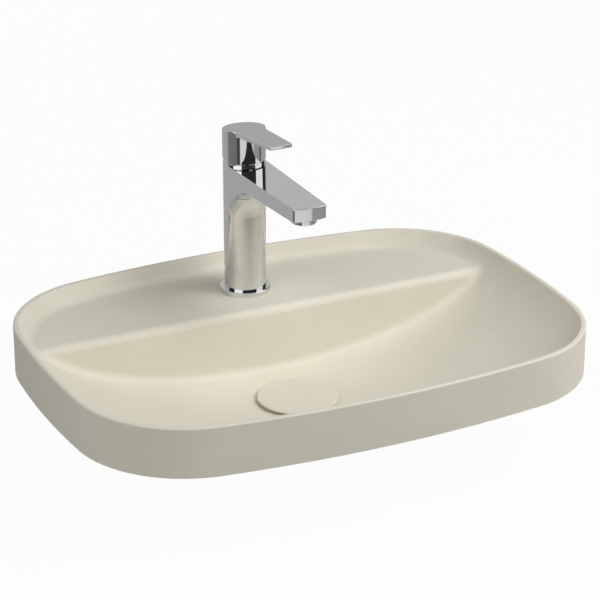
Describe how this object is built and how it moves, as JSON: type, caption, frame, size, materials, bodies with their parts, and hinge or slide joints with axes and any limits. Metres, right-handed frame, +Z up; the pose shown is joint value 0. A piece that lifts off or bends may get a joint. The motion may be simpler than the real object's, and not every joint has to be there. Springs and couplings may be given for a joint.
{
  "type": "inset basin",
  "caption": "Matte inset basin with rounded corners, a raised ledge at the back, a one-hole lever mixer and a push-to-open waste under a round cap.",
  "frame": {"origin": "centre of the basin's plan on the counter plane, where its foot rests", "axes": "+X to the right seen from the user, +Y to the wall, +Z up"},
  "size_m": [0.55, 0.405, 0.3162],
  "materials": {
    "matte_ceramic": "matte",
    "polished_chrome": "polished",
    "bare_brass": "machined",
    "zinc_steel": "zinc plated",
    "black_rubber": "matte",
    "white_plastic": "satin",
    "disc_ceramic": "ground"
  },
  "bodies": {
    "fixed": {"basin": "matte_ceramic", "tap_body": "polished_chrome", "tap_base_ring": "polished_chrome", "bonnet_ring": "polished_chrome", "aerator_ring": "polished_chrome", "waste_body": "polished_chrome", "waste_nut": "bare_brass", "clamp_nut": "bare_brass", "cartridge_nut": "bare_brass", "fixing_stud": "zinc_steel", "clamp_plate": "zinc_steel", "waste_flange_seal": "black_rubber", "waste_cone_seal": "black_rubber", "tap_base_seal": "black_rubber", "clamp_pad": "black_rubber", "aerator_seal": "black_rubber", "hot_port_seal": "black_rubber", "cold_port_seal": "black_rubber", "waste_slip_washer": "white_plastic", "waste_guide": "white_plastic", "aerator_jet_plate": "white_plastic", "cartridge_port_plate": "white_plastic", "cartridge_housing": "white_plastic", "fixed_disc": "disc_ceramic"},
    "rotor": {"cartridge_rotor": "white_plastic", "pivot_pin": "zinc_steel"},
    "handle": {"lever_handle": "polished_chrome", "spindle": "bare_brass", "handle_set_screw": "zinc_steel", "handle_screw_plug": "polished_chrome"},
    "slider": {"moving_disc": "disc_ceramic", "disc_driver": "white_plastic"},
    "plug": {"plug_stem": "bare_brass", "plug_plate": "bare_brass", "plug_seal": "black_rubber", "waste_cap": "matte_ceramic"}
  },
  "joints": [
    {"name": "lever_turn", "type": "hinge", "parent": "fixed", "child": "rotor", "pos_m": [0, 0.1324, 0.152], "axis": [0, 0, 1], "range_deg": [-45, 45]},
    {"name": "lever_lift", "type": "hinge", "parent": "rotor", "child": "handle", "pos_m": [0, 0.1324, 0.176], "axis": [-1, 0, 0], "range_deg": [0, 20]},
    {"name": "disc_slide", "type": "slide", "parent": "rotor", "child": "slider", "axis": [0, -1, 0], "range_m": [0, 0.0031]},
    {"name": "plug_lift", "type": "slide", "parent": "fixed", "child": "plug", "axis": [0, 0, 1], "range_m": [0, 0.008]}
  ],
  "couplings": [
    {"joint": "disc_slide", "follows": "lever_lift", "m_per_rad": 0.0088}
  ]
}
